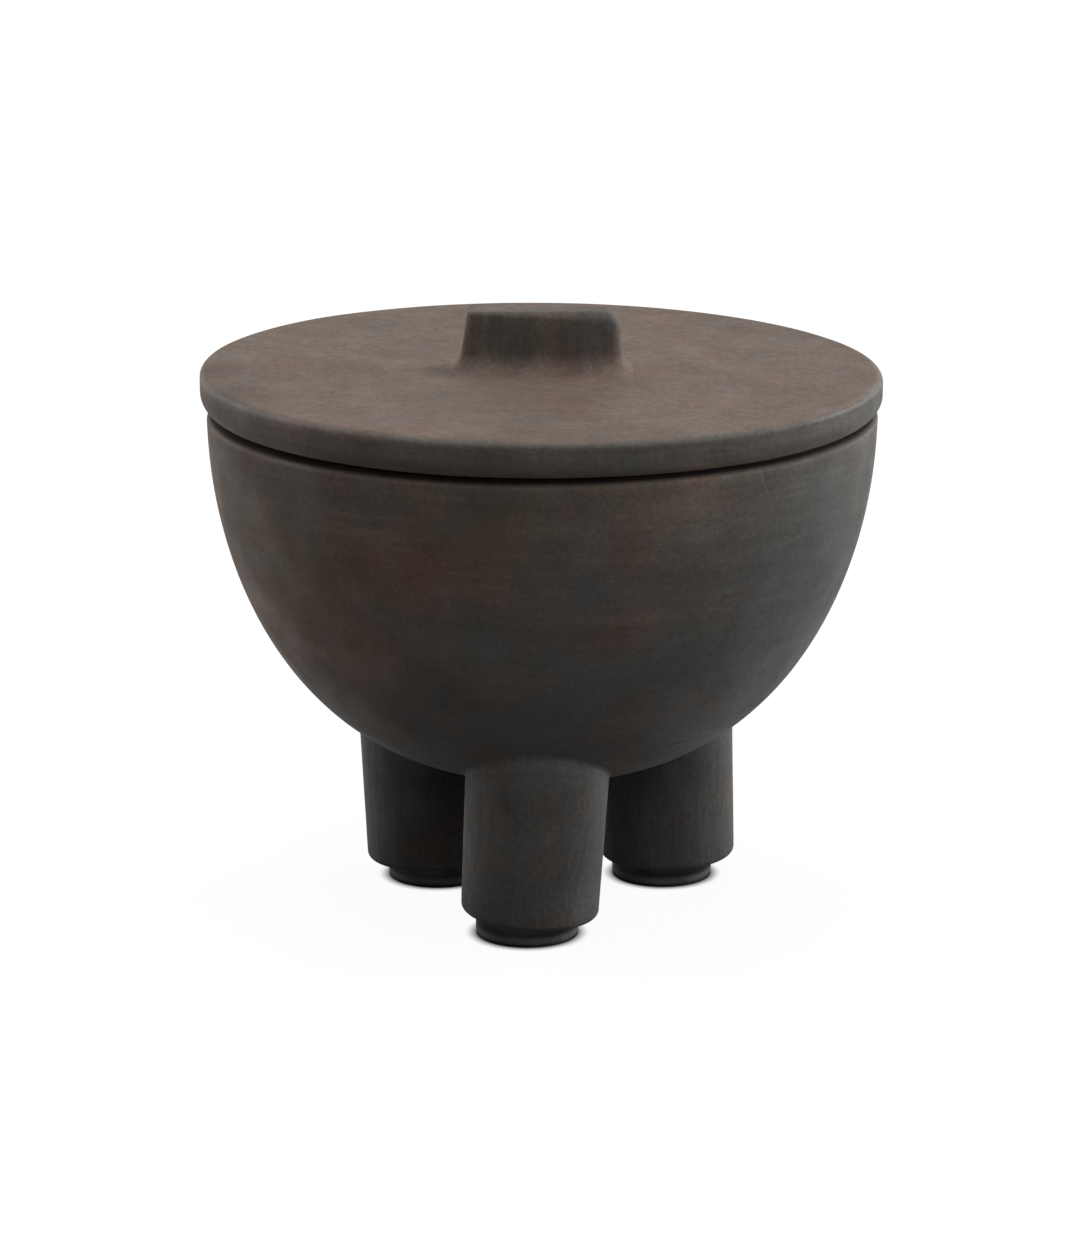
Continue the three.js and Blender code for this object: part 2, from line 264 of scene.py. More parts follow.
def matte_stoneware(name, on_wheel, fade):
    """Unglazed stoneware, smoke-fired and given a light burnish: a dull skin, brown higher up
    and to the left and greyer lower down and to the right, with soft red flashes and blue-grey
    patches, fine grit, and faint marks round it from the wheel or, on a post or bar, from the
    hand. Light and shade are painted into its tone too: paler and darker spots, a highlight on
    the edges that hands burnish, shade in the lid's seat, a greyer side on the lid, and a fade
    between two levels over two heights in millimetres."""
    material, tree = new_material(name)
    place = add_node(tree, "ShaderNodeTexCoord", output="Object")
    x, y, z = add_node(tree, "ShaderNodeSeparateXYZ", {"Vector": place}, None)

    # The placed patches get ragged edges from places that wander by up to 8 mm.
    wander = add_node(tree, "ShaderNodeTexNoise", {
        "Vector": place, "W": 4.4, "Scale": 1 / (16 * MM), "Detail": 3.0,
    }, "Color", noise_dimensions="4D")
    centred = add_node(tree, "ShaderNodeVectorMath", {
        0: wander, 1: (0.5, 0.5, 0.5),
    }, operation="SUBTRACT")
    ragged = add_node(tree, "ShaderNodeVectorMath", {
        0: centred, 1: (16 * MM, 16 * MM, 16 * MM), 2: place,
    }, operation="MULTIPLY_ADD")

    # Brown to grey: how high and how far to the left, with clouds of about 45 mm.
    to_left = add_node(tree, "ShaderNodeMath", {0: x, 1: -0.35, 2: z}, operation="MULTIPLY_ADD")
    smoke = clouds(tree, place, 45 * MM, 9.4, 0.25, 0.75, -22 * MM, 22 * MM)
    lift = add_node(tree, "ShaderNodeMath", {0: to_left, 1: smoke})
    brown = add_node(tree, "ShaderNodeMapRange", {
        "Value": lift, "From Min": 62 * MM, "From Max": 98 * MM,
    })

    # Marks of forming: rings about the pot's axis, or strokes up a post or along a bar. On
    # the wheel the lid's side, which stands furthest out, is painted greyer than its top, for
    # the cooler light that falls on that side.
    if on_wheel:
        flat = add_node(tree, "ShaderNodeCombineXYZ", {"X": x, "Y": y})
        out = add_node(tree, "ShaderNodeVectorMath", {0: flat}, "Value", operation="LENGTH")
        bearing = add_node(tree, "ShaderNodeMath", {0: y, 1: x}, operation="ARCTAN2")
        around = add_node(tree, "ShaderNodeMath", {
            0: bearing, 1: 7 * MM,
        }, operation="MULTIPLY")
        drawn_out = add_node(tree, "ShaderNodeCombineXYZ", {"X": out, "Y": around, "Z": z})
        section = add_node(tree, "ShaderNodeCombineXYZ", {"X": out, "Z": z})
        # A painted highlight along the edges that hands burnish, which are also less rough
        # there, and painted shade in the seat under the lid, where the gap lies in shadow.
        burnish_and_highlight = near_spots(tree, section, BURNISHED_HIGHLIT_EDGES)
        seat_shade = near_spots(tree, section, PAINTED_SEAT_SHADE)
        # Painted light: the lid's side greyer than its top.
        inside = add_node(tree, "ShaderNodeMapRange", {
            "Value": out, "From Min": 73.9 * MM, "From Max": 74.6 * MM,
            "To Min": 1.0, "To Max": 0.45,
        })
        brown = add_node(tree, "ShaderNodeMath", {0: brown, 1: inside}, operation="MULTIPLY")
    else:
        drawn_out = add_node(tree, "ShaderNodeMapping", {
            "Vector": place, "Scale": (1, 1, 0.15),
        })
        burnish_and_highlight = seat_shade = 0.0
    marks = clouds(tree, drawn_out, 2.4 * MM, 3.7, 0.3, 0.7, 0.82, 1.18)

    # A flat rib wiped most of the rings off the lid's top, and left it mottled.
    if on_wheel:
        wiped = add_node(tree, "ShaderNodeMapRange", {
            "Value": z, "From Min": 118.8 * MM, "From Max": 119.8 * MM, "To Max": 0.8,
        })
        mottle = clouds(tree, place, 2.6 * MM, 8.6, 0.3, 0.7, 0.84, 1.16)
        marks = add_node(tree, "ShaderNodeMix", {0: wiped, 2: marks, 3: mottle})

    # The clay's own tone, between smoke grey and brown.
    tone = add_node(tree, "ShaderNodeMix", {
        0: brown, 6: linear("#605F5C"), 7: linear("#6E5F53"),
    }, 2, data_type="RGBA")

    # Red flashes and blue-grey patches: the placed ones, and fainter ones everywhere.
    for spots, seed, colour in (
        (RED_FLASHES, 1.3, "#75574C"), (GREY_PATCHES, 5.1, "#5A5D5B"),
    ):
        placed = near_spots(tree, ragged, spots)
        strewn = clouds(tree, place, 15 * MM, seed, 0.5, 0.78, 0.0, 0.6)
        share = add_node(tree, "ShaderNodeMath", {0: placed, 1: strewn}, operation="MAXIMUM")
        tone = add_node(tree, "ShaderNodeMix", {
            0: share, 6: tone, 7: linear(colour),
        }, 2, data_type="RGBA")

    # A hairline mark runs down from the rim, paler than the wall.
    line_at = clouds(tree, place, 5 * MM, 6.1, 0.0, 1.0, 79.5 * MM, 82.5 * MM)
    slant = add_node(tree, "ShaderNodeMath", {0: z, 1: 0.32, 2: x}, operation="MULTIPLY_ADD")
    hairline = add_node(tree, "ShaderNodeMath", {
        0: slant, 1: line_at, 2: 0.28 * MM,
    }, operation="COMPARE")
    for axis, low, high in (
        (y, -48 * MM, -52 * MM), (z, 100 * MM, 104 * MM), (z, 112.3 * MM, 112 * MM),
    ):
        there = add_node(tree, "ShaderNodeMapRange", {
            "Value": axis, "From Min": low, "From Max": high,
        })
        hairline = add_node(tree, "ShaderNodeMath", {
            0: hairline, 1: there,
        }, operation="MULTIPLY")

    # Paler and darker drifts of about 14 mm, and grit of about 0.9 mm: drawn coarser than real
    # sand, which would be lost at this distance.
    drift = clouds(tree, place, 14 * MM, 7.7, 0.3, 0.7, 0.87, 1.13)
    grit = clouds(tree, place, 0.9 * MM, 2.2, 0.3, 0.7, 0.74, 1.26)
    # Lighter or darker by height: painted shade low on the bowl, a painted highlight at a leg's
    # top.
    painted_light_by_height = add_node(tree, "ShaderNodeMapRange", {
        "Value": z, "From Min": fade[0] * MM, "From Max": fade[1] * MM,
        "To Min": fade[2], "To Max": fade[3],
    })
    levels = [marks, drift, grit, painted_light_by_height]
    # Painted light and shade scale the tone here: the paler and darker spots, the highlight on
    # the edges that hands burnish and the shade in the lid's seat. The hairline is a real mark.
    for share, gain in (
        (near_spots(tree, ragged, PAINTED_LIGHT_SPOTS), 1.0),
        (near_spots(tree, ragged, PAINTED_SHADE_SPOTS), -1.0), (burnish_and_highlight, 0.2), (hairline, 0.3),
        (seat_shade, -0.9),
    ):
        levels.append(add_node(tree, "ShaderNodeMath", {
            0: share, 1: gain, 2: 1.0,
        }, operation="MULTIPLY_ADD"))
    for level in levels:
        tone = add_node(tree, "ShaderNodeVectorMath", {
            0: tone, "Scale": level,
        }, operation="SCALE")

    # Relief of the grit and of the marks.
    skin = clouds(tree, place, 0.6 * MM, 4.9, 0.0, 1.0)
    fine = add_node(tree, "ShaderNodeBump", {
        "Strength": 0.5, "Distance": 0.1 * MM, "Height": skin,
    })
    relief = add_node(tree, "ShaderNodeBump", {
        "Strength": 1.0, "Distance": 0.3 * MM, "Height": marks, "Normal": fine,
    })
    dullness = clouds(tree, place, 12 * MM, 6.6, 0.3, 0.7, 0.62, 0.8)
    roughness = add_node(tree, "ShaderNodeMath", {
        0: burnish_and_highlight, 1: -0.3, 2: dullness,
    }, operation="MULTIPLY_ADD")
    shader = add_node(tree, "ShaderNodeBsdfPrincipled", {
        "Base Color": tone, "Normal": relief, "Specular IOR Level": 0.3,
        "Roughness": roughness,
    })
    add_node(tree, "ShaderNodeOutputMaterial", {"Surface": shader}, None)
    return material


def moulded_rubber():
    """Black moulded rubber, satin from its mould, with a paler band round its lower edge
    painted as the floor's reflection.
    """
    material, tree = new_material("black_moulded_rubber")
    place = add_node(tree, "ShaderNodeTexCoord", output="Object")
    height = add_node(tree, "ShaderNodeSeparateXYZ", {"Vector": place}, "Z")
    low = add_node(tree, "ShaderNodeMapRange", {
        "Value": height, "From Min": 2.8 * MM, "From Max": 1.5 * MM, "To Max": 1.0,
    }, interpolation_type="SMOOTHSTEP")
    film = clouds(tree, place, 3 * MM, 8.2, 0.3, 0.8, 0.5, 1.0)
    # Painted reflection: a paler, streaky band round the lower edge stands for the bright floor
    # mirrored there; the band is also made rougher.
    floor_glint_band = add_node(tree, "ShaderNodeMath", {0: low, 1: film}, operation="MULTIPLY")
    colour = add_node(tree, "ShaderNodeMix", {
        0: floor_glint_band, 6: linear("#101010"), 7: linear("#83817E"),
    }, 2, data_type="RGBA")
    bump = add_node(tree, "ShaderNodeBump", {
        "Strength": 0.3, "Distance": 0.05 * MM,
        "Height": clouds(tree, place, 0.5 * MM, 1.9, 0.0, 1.0),
    })
    roughness = add_node(tree, "ShaderNodeMapRange", {
        "Value": floor_glint_band, "To Min": 0.32, "To Max": 0.6,
    })
    shader = add_node(tree, "ShaderNodeBsdfPrincipled", {
        "Base Color": colour, "Normal": bump, "Specular IOR Level": 0.35,
        "Roughness": roughness,
    })
    add_node(tree, "ShaderNodeOutputMaterial", {"Surface": shader}, None)
    return material


# Each fade by height: the bowl darker low down, painted shade under it and above the legs'
# joints; a leg lighter over its joint at the top, a painted highlight; the handle as pale as
# the lid at its foot and darker above it.
THROWN = matte_stoneware("thrown_smoke_fired_stoneware", True, (40, 62, 0.78, 1.0))
LEG_CLAY = matte_stoneware("modelled_leg_stoneware", False, (37, 42, 0.9, 1.4))
HANDLE_CLAY = matte_stoneware("modelled_handle_stoneware", False, (122.5, 126, 1.13, 0.79))
RUBBER = moulded_rubber()


# Geometry trees

def new_tree(name, sockets):
    """A geometry tree with a geometry input and output, and named inputs of its own."""
    tree = bpy.data.node_groups.new(name, "GeometryNodeTree")
    tree.interface.new_socket("Geometry", in_out="INPUT", socket_type="NodeSocketGeometry")
    for socket_name, kind in sockets:
        tree.interface.new_socket(socket_name, in_out="INPUT", socket_type=kind)
    tree.interface.new_socket("Geometry", in_out="OUTPUT", socket_type="NodeSocketGeometry")
    return tree, add_node(tree, "NodeGroupInput", output=None)


def output_with_material(tree, form, material):
    """Ends a geometry tree with its form made real and its material set."""
    real = add_node(tree, "GeometryNodeRealizeInstances", {"Geometry": form})
    painted = add_node(tree, "GeometryNodeSetMaterial", {
        "Geometry": real, "Material": material,
    })
    add_node(tree, "NodeGroupOutput", {"Geometry": painted}, None)


def turned_tree():
    """Turns a profile curve about Z, as a pot is turned on the wheel: one column of points
    for each step round, each a copy of the profile's points, closed at its seam and poles."""
    tree, given = new_tree("turned_on_the_wheel", [
        ("Steps", "NodeSocketInt"), ("Material", "NodeSocketMaterial"),
    ])
    profile = given["Geometry"]
    rows = add_node(tree, "GeometryNodeAttributeDomainSize", {
        "Geometry": profile,
    }, "Point Count", component="CURVE")
    columns = add_node(tree, "ShaderNodeMath", {0: given["Steps"], 1: 1})
    grid = add_node(tree, "GeometryNodeMeshGrid", {"Vertices X": columns, "Vertices Y": rows})
    index = add_node(tree, "GeometryNodeInputIndex")
    row = add_node(tree, "ShaderNodeMath", {0: index, 1: rows}, operation="FLOORED_MODULO")
    part = add_node(tree, "ShaderNodeMath", {0: index, 1: rows}, operation="DIVIDE")
    column = add_node(tree, "ShaderNodeMath", {0: part}, operation="FLOOR")
    share = add_node(tree, "ShaderNodeMath", {
        0: column, 1: given["Steps"],
    }, operation="DIVIDE")
    angle = add_node(tree, "ShaderNodeMath", {0: share, 1: math.tau}, operation="MULTIPLY")
    point = add_node(tree, "GeometryNodeSampleIndex", {
        "Geometry": profile, "Index": row, "Value": add_node(tree, "GeometryNodeInputPosition"),
    }, data_type="FLOAT_VECTOR")
    turned = add_node(tree, "ShaderNodeVectorRotate", {
        "Vector": point, "Axis": (0, 0, 1), "Angle": angle,
    })
    placed = add_node(tree, "GeometryNodeSetPosition", {"Geometry": grid, "Position": turned})
    closed = add_node(tree, "GeometryNodeMergeByDistance", {
        "Geometry": placed, "Distance": 0.001 * MM,
    })
    output_with_material(tree, closed, given["Material"])
    return tree


def finish_tree():
    """Gives a formed piece its hand-made unevenness and its material. The unevenness only
    depends on the place, so that two pieces that touch stay together."""
    tree, given = new_tree("hand_finish", [
        ("Height", "NodeSocketFloat"), ("Size", "NodeSocketFloat"),
        ("Seed", "NodeSocketFloat"), ("Material", "NodeSocketMaterial"),
    ])
    scale = add_node(tree, "ShaderNodeMath", {0: 1, 1: given["Size"]}, operation="DIVIDE")
    noise = add_node(tree, "ShaderNodeTexNoise", {
        "W": given["Seed"], "Scale": scale, "Detail": 2.0, "Roughness": 0.5,
    }, "Color", noise_dimensions="4D")
    centred = add_node(tree, "ShaderNodeVectorMath", {
        0: noise, 1: (0.5, 0.5, 0.5),
    }, operation="SUBTRACT")
    twice = add_node(tree, "ShaderNodeMath", {0: given["Height"], 1: 2}, operation="MULTIPLY")
    offset = add_node(tree, "ShaderNodeVectorMath", {
        0: centred, "Scale": twice,
    }, operation="SCALE")
    moved = add_node(tree, "GeometryNodeSetPosition", {
        "Geometry": given["Geometry"], "Offset": offset,
    })
    smooth = add_node(tree, "GeometryNodeSetShadeSmooth", {"Geometry": moved})
    output_with_material(tree, smooth, given["Material"])
    return tree


TURNED = turned_tree()
FINISH = finish_tree()


def add_modifier(thing, tree, **values):
    """Adds a geometry tree to an object and sets its named inputs by their identifiers."""
    modifier = thing.modifiers.new(tree.name, "NODES")
    modifier.node_group = tree
    for item in tree.interface.items_tree:
        if item.in_out == "INPUT" and item.name in values:
            modifier[item.identifier] = values[item.name]


def link(name, data):
    thing = bpy.data.objects.new(name, data)
    bpy.context.scene.collection.objects.link(thing)
    return thing


def baked(name, source):
    """The plain mesh that an object's geometry trees make, as a new object."""
    graph = bpy.context.evaluated_depsgraph_get()
    mesh = bpy.data.meshes.new_from_object(source.evaluated_get(graph))
    bpy.data.objects.remove(source)
    mesh.name = name
    return link(name, mesh)


def finished(name, source, material, height=UNEVEN_HEIGHT):
    add_modifier(source, FINISH, Height=height, Size=UNEVEN_SIZE, Seed=UNEVEN_SEED,
                 Material=material)
    return baked(name, source)


def turn(name, profile, material, steps, height=UNEVEN_HEIGHT, centre=(0, 0)):
    """Turns a profile of (radius, height) points about the vertical through a centre."""
    curve = bpy.data.curves.new(name, "CURVE")
    curve.dimensions = "3D"
    spline = curve.splines.new("POLY")
    spline.points.add(len(profile) - 1)
    for point, (radius, level) in zip(spline.points, profile):
        point.co = (radius, 0, level, 1)
    blank = link(name + "_profile", curve)
    add_modifier(blank, TURNED, Steps=steps, Material=material)
    form = baked(name + "_form", blank)
    for vertex in form.data.vertices:
        vertex.co.x += centre[0]
        vertex.co.y += centre[1]
    return finished(name, form, material, height)


# Profiles

def straight(start, end):
    """Points from start up to but not including end, at the usual row spacing."""
    run = Vector(end) - Vector(start)
    count = max(1, round(run.length / ROW_SPACING))
    return [tuple(Vector(start) + run * (i / count)) for i in range(count)]


def arc(centre, radius, from_deg, to_deg, rows=EDGE_ROWS):
    points = []
    for i in range(rows + 1):
        angle = math.radians(from_deg + (to_deg - from_deg) * i / rows)
        points.append((
            centre[0] + radius * math.cos(angle), centre[1] + radius * math.sin(angle),
        ))
    return points


def bowl_point(mouth_radius, full_depth, angle):
    """A point of the bowl's curve; the angle runs from 0 at its bottom to a quarter turn."""
    depth = full_depth * math.cos(angle)
    radius = mouth_radius * (1 - math.cos(angle) ** 2) ** (1 / BOWL_FULLNESS)
    return radius, RIM_HEIGHT - depth


def bowl_curve(mouth_radius, full_depth, top_depth, rows):
    last = math.acos(top_depth / full_depth)
    return [bowl_point(mouth_radius, full_depth, last * i / rows) for i in range(rows + 1)]


def bowl_profile():
    """The bowl's section; its rim slopes down outwards, which leaves a dark line under the
    lid."""
    inner_radius = BOWL_RADIUS - BOWL_WALL
    inner_depth = BOWL_DEPTH - BOWL_BASE_THICKNESS
    outer_depth = RIM_SLOPE_DROP + RIM_OUTER_ROUND
    outside = bowl_curve(BOWL_RADIUS, BOWL_DEPTH, outer_depth, OUTSIDE_ROWS)
    inside = bowl_curve(inner_radius, inner_depth, RIM_INNER_ROUND, INSIDE_ROWS)
    outer_centre = (BOWL_RADIUS - RIM_OUTER_ROUND, RIM_HEIGHT - outer_depth)
    inner_centre = (inner_radius + RIM_INNER_ROUND, RIM_HEIGHT - RIM_INNER_ROUND)
    return [
        *outside[:-1], *arc(outer_centre, RIM_OUTER_ROUND, 0, 90),
        *arc(inner_centre, RIM_INNER_ROUND, 90, 180), *reversed(inside[:-1]),
    ]


def plate_profile():
    """The lid's side curves in below and ends in the crisp edge of the trimmed underside."""
    radius, low, high = PLATE_HIGH.x, PLATE_LOW.z, PLATE_HIGH.z
    rise = LID_UNDER_ROUND * math.sin(math.radians(LID_UNDER_BEND))
    under = (radius - LID_UNDER_ROUND, low + rise)
    edge = radius - LID_UNDER_ROUND * (1 - math.cos(math.radians(LID_UNDER_BEND)))
    top = (radius - LID_TOP_ROUND, high - LID_TOP_ROUND)
    return [
        *straight((0, low), (edge - LID_EDGE_FLAT, low)), (edge - LID_EDGE_FLAT, low),
        *arc(under, LID_UNDER_ROUND, -LID_UNDER_BEND, 0),
        *arc(top, LID_TOP_ROUND, 0, 90),
        *straight((top[0] - LID_TOP_FLAT, high), (0, high)), (0, high),
    ]


def ring_profile():
    outer, low, high = RING_HIGH.x, RING_LOW.z, RING_HIGH.z
    inner = outer - RING_WALL
    return [
        (inner, high), *arc((inner + RING_ROUND, low + RING_ROUND), RING_ROUND, 180, 270),
        *arc((outer - RING_ROUND, low + RING_ROUND), RING_ROUND, 270, 360),
        (outer, high), (inner, high),
    ]


def pad_profile(radius, height):
    lower = (radius - PAD_BOTTOM_ROUND, PAD_BOTTOM_ROUND)
    upper = (radius - PAD_TOP_ROUND, height - PAD_TOP_ROUND)
    return [
        *straight((0, 0), (lower[0], 0)),
        *arc(lower, PAD_BOTTOM_ROUND, -90, 0, PAD_EDGE_ROWS),
        *arc(upper, PAD_TOP_ROUND, 0, 90, PAD_EDGE_ROWS),
        *straight((upper[0], height), (0, height)), (0, height),
    ]


# Pieces

def mesh_from_columns(name, columns):
    """A closed mesh from columns of points round a form; the first and last point of every
    column is shared by all of them."""
    rows = len(columns[0])
    first, last = columns[0][0], columns[0][-1]
    points = [first] + [p for column in columns for p in column[1:-1]] + [last]
    inner = rows - 2
    end = len(points) - 1
    faces = []
    for i in range(len(columns)):
        here = 1 + i * inner
        there = 1 + ((i + 1) % len(columns)) * inner
        faces.append((0, there, here))
        faces.append((end, here + inner - 1, there + inner - 1))
        for j in range(inner - 1):
            faces.append((here + j, there + j, there + j + 1, here + j + 1))
    mesh = bpy.data.meshes.new(name)
    mesh.from_pydata([tuple(p) for p in points], [], faces)
    mesh.update()
    return link(name, mesh)


def ball_on_bowl(distance, size):
    """Where a ball of this radius touches the bowl when its centre is this far from the
    bowl's axis: the centre's height, and the radius and height of the touching point."""
    low, high = 0.0, math.pi / 2
    for _ in range(TOUCH_HALVINGS):
        angle = (low + high) / 2
        radius, level = bowl_point(BOWL_RADIUS, BOWL_DEPTH, angle)
        ahead = bowl_point(BOWL_RADIUS, BOWL_DEPTH, angle + TOUCH_STEP)
        along = Vector((ahead[0] - radius, ahead[1] - level)).normalized()
        if radius + along.y * size < distance:
            low = angle
        else:
            high = angle
    return level - along.x * size, radius, level


def leg_columns(foot, foot_radius, lean, lean_out):
    """Columns of points up a leaning leg, from the middle of its foot over the shoulder and
    the wiped joint, which a ball rolled round it would leave, to a cap in the bowl's wall."""
    upright = Matrix.Rotation(lean, 3, "Y")
    away = foot.xy.normalized()
    slant = away.to_3d() * math.tan(lean_out)
    columns = []
    for i in range(LEG_STEPS):
        angle = math.tau * i / LEG_STEPS
        out = Vector((math.cos(angle), math.sin(angle), 0))

        def on_side(height, grow=0.0):
            radius = foot_radius + LEG_TAPER * height + grow
            return foot + upright @ (out * radius + Vector((0, 0, height))) + slant * height

        facing_out = max(out.xy.dot(away), 0) ** 2
        size = LUTE_FILLET_SIDE + (LUTE_FILLET_OUT - LUTE_FILLET_SIDE) * facing_out
        top = BOWL_LOW.z - foot.z
        for _ in range(TOUCH_ROUNDS):
            ball = on_side(top, size)
            level, touch_radius, touch_level = ball_on_bowl(ball.xy.length, size)
            top += level - ball.z
        ball = on_side(top, size)
        touch = Vector((*(ball.xy.normalized() * touch_radius), touch_level))
        start, end = upright @ -out, (touch - ball).normalized()
        bend = start.angle(end)

        flat = foot_radius - LEG_FOOT_ROUND
        column = [foot + upright @ (out * (flat * share)) for share in (0, 0.25, 0.5, 0.75)]
        for radius, rise in arc((flat, LEG_FOOT_ROUND), LEG_FOOT_ROUND, -90, 0):
            column.append(foot + upright @ (out * radius + Vector((0, 0, rise))))
        shoulder = top - SHOULDER_REACH
        for row in range(1, POST_ROWS + 1):
            share = row / POST_ROWS
            column.append(on_side(LEG_FOOT_ROUND + (shoulder - LEG_FOOT_ROUND) * share))
        for row in range(1, SHOULDER_ROWS):
            share = row / SHOULDER_ROWS
            swell = SHOULDER_HEIGHT * math.sin(math.pi * share) ** 2 * facing_out
            column.append(on_side(shoulder + SHOULDER_REACH * share, swell))
        for row in range(LUTE_ROWS + 1):
            share = row / LUTE_ROWS
            direction = (
                start * math.sin((1 - share) * bend) + end * math.sin(share * bend)
            ) / math.sin(bend)
            column.append(ball + direction * size)
        column.append(touch + end * LUTE_SINK)
        column.append(Vector((foot.x, foot.y, BOWL_LOW.z + CAP_RISE)))
        columns.append(column)
    return columns


def foot_of(side):
    """The middle of a leg's foot, on top of its pad."""
    low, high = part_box("foot_pad_" + side)
    middle = (low + high) / 2
    return Vector((middle.x - LEGS[side][2], middle.y, PAD_HEIGHT + GLUE_GAP))


def leg(side):
    lean, lean_out, _ = LEGS[side]
    columns = leg_columns(foot_of(side), LEG_FOOT_RADIUS, lean, lean_out)
    form = mesh_from_columns("leg_" + side + "_form", columns)
    return finished("luted_leg_" + side, form, LEG_CLAY)


def pad(side):
    """A rubber pad, flat on the floor and pressed to a wedge by the leg's tilted foot."""
    low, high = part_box("foot_pad_" + side)
    middle = (low + high) / 2
    profile = pad_profile((high.x - low.x) / 2, PAD_HEIGHT)
    piece = turn("glued_pad_" + side, profile, RUBBER, LEG_STEPS, height=0, centre=middle.xy)
    slope = math.tan(LEGS[side][0])
    foot = foot_of(side)
    for vertex in piece.data.vertices:
        drop = slope * (vertex.co.x - foot.x)
        vertex.co.z *= 1 - drop / PAD_HEIGHT
    return piece


def handle_columns():
    """Columns of points up the handle's side, from the middle of its hidden foot over the
    fillet, the flank and the worn top edge to the middle of its top. Its left end slants in
    more than its right one."""
    height = HANDLE_HIGH.z - HANDLE_LOW.z
    outline = []
    for quarter, (side_x, side_y) in enumerate([(1, -1), (1, 1), (-1, 1), (-1, -1)]):
        for i in range(CORNER_STEPS + 1):
            angle = math.radians(-90 + 90 * (quarter + i / CORNER_STEPS))
            outline.append((side_x, side_y, math.cos(angle), math.sin(angle)))

    def ring(rise, grow_end, grow_side):
        share = rise / height
        half_length = (HANDLE_FOOT_LENGTH * (1 - share) + HANDLE_TOP_LENGTH * share) / 2
        half_width = (HANDLE_FOOT_WIDTH * (1 - share) + HANDLE_TOP_WIDTH * share) / 2
        to_side = {1: half_length, -1: half_length - HANDLE_LEFT_SLANT * share}
        corner_x = max(HANDLE_CORNER + grow_end, HANDLE_LEAST_CORNER)
        corner_y = max(HANDLE_CORNER + grow_side, HANDLE_LEAST_CORNER)
        return [
            Vector((
                side_x * (to_side[side_x] + grow_end - corner_x) + corner_x * cos,
                side_y * (half_width + grow_side - corner_y) + corner_y * sin,
                HANDLE_LOW.z + rise,
            )) for side_x, side_y, cos, sin in outline
        ]

    rows = []
    for i in range(HANDLE_EDGE_ROWS + 1):
        angle = math.pi / 2 * i / HANDLE_EDGE_ROWS
        away = 1 - math.sin(angle)
        row = ring(HANDLE_FILLET_SIDE * (1 - math.cos(angle)),
                   HANDLE_FILLET_END * away, HANDLE_FILLET_SIDE * away)
        rows.append([p - Vector((0, 0, HANDLE_SINK * (i == 0))) for p in row])
    flank = height - HANDLE_ROUND_RIGHT - HANDLE_FILLET_SIDE
    for i in range(1, FLANK_ROWS):
        rows.append(ring(HANDLE_FILLET_SIDE + flank * i / FLANK_ROWS, 0, 0))
    base = rows[-1]
    for i in range(HANDLE_EDGE_ROWS + 1):
        angle = math.pi / 2 * i / HANDLE_EDGE_ROWS
        row = []
        for column, low_point in enumerate(base):
            along = min(max(0.5 + low_point.x / HANDLE_TOP_LENGTH, 0), 1)
            wear = along ** HANDLE_WEAR_POWER
            edge = HANDLE_ROUND_LEFT + (HANDLE_ROUND_RIGHT - HANDLE_ROUND_LEFT) * wear
            rise = height - edge * (1 - math.sin(angle))
            grow = -edge * (1 - math.cos(angle))
            row.append(ring(rise, grow, grow)[column])
        rows.append(row)
    columns = []
    for i in range(len(outline)):
        columns.append([
            Vector((0, 0, HANDLE_LOW.z - HANDLE_SINK)), *[row[i] for row in rows],
            Vector((0, 0, HANDLE_HIGH.z)),
        ])
    return columns


def settle_lid(thing):
    """Slopes a lid piece, whose underside and top each fall to the right by their own slope,
    and sets it a hair off the middle, as it was put down by hand."""
    thickness = PLATE_HIGH.z - PLATE_LOW.z
    for vertex in thing.data.vertices:
        share = min(max((vertex.co.z - PLATE_LOW.z) / thickness, 0), 1)
        slope = LID_UNDER_SLOPE + (LID_TOP_SLOPE - LID_UNDER_SLOPE) * share
        vertex.co.z -= slope * vertex.co.x
        vertex.co.x += LID_SHIFT
    return thing


def trim_rim(thing):
    """Lowers the bowl's rim towards its left side, less and less down its wall."""
    for vertex in thing.data.vertices:
        near = max(1 - (RIM_HEIGHT - vertex.co.z) / RIM_DROP_DEPTH, 0)
        vertex.co.z -= RIM_DROP * (1 - vertex.co.x / BOWL_RADIUS) * near ** 2
    return thing


def put_in_place(piece, body, node):
    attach(piece, body)
    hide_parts(node)


bowl = trim_rim(turn("thrown_bowl", bowl_profile(), THROWN, POT_STEPS))
put_in_place(bowl, "jar", "bowl")
for side in LEGS:
    put_in_place(leg(side), "jar", "leg_" + side)
    put_in_place(pad(side), "jar", "foot_pad_" + side)

plate = settle_lid(turn("turned_lid", plate_profile(), THROWN, POT_STEPS))
put_in_place(plate, "lid", "lid_plate")
locating_ring = settle_lid(turn("turned_locating_ring", ring_profile(), THROWN, POT_STEPS))
put_in_place(locating_ring, "lid", "lid_locating_ring")
handle = settle_lid(
    finished("luted_handle", mesh_from_columns("handle_form", handle_columns()), HANDLE_CLAY)
)
put_in_place(handle, "lid", "lid_handle")


# Stage, light and camera

def area_light(name, energy, size, place, colour=(1, 1, 1)):
    light = bpy.data.lights.new(name, "AREA")
    light.shape = "RECTANGLE"
    light.size, light.size_y = size
    light.energy = energy
    light.color = colour
    lamp = link(name, light)
    lamp.location = place
    lamp.rotation_euler = (LIGHT_AIM - Vector(place)).to_track_quat("-Z", "Y").to_euler()


def seen_straight_or_mirrored(tree, path):
    """1 for rays from the camera and for gloss and clear rays, 0 for scattered light."""
    seen = path["Is Camera Ray"]
    for kind in ("Is Glossy Ray", "Is Transmission Ray"):
        seen = add_node(tree, "ShaderNodeMath", {0: seen, 1: path[kind]}, operation="MAXIMUM")
    return seen


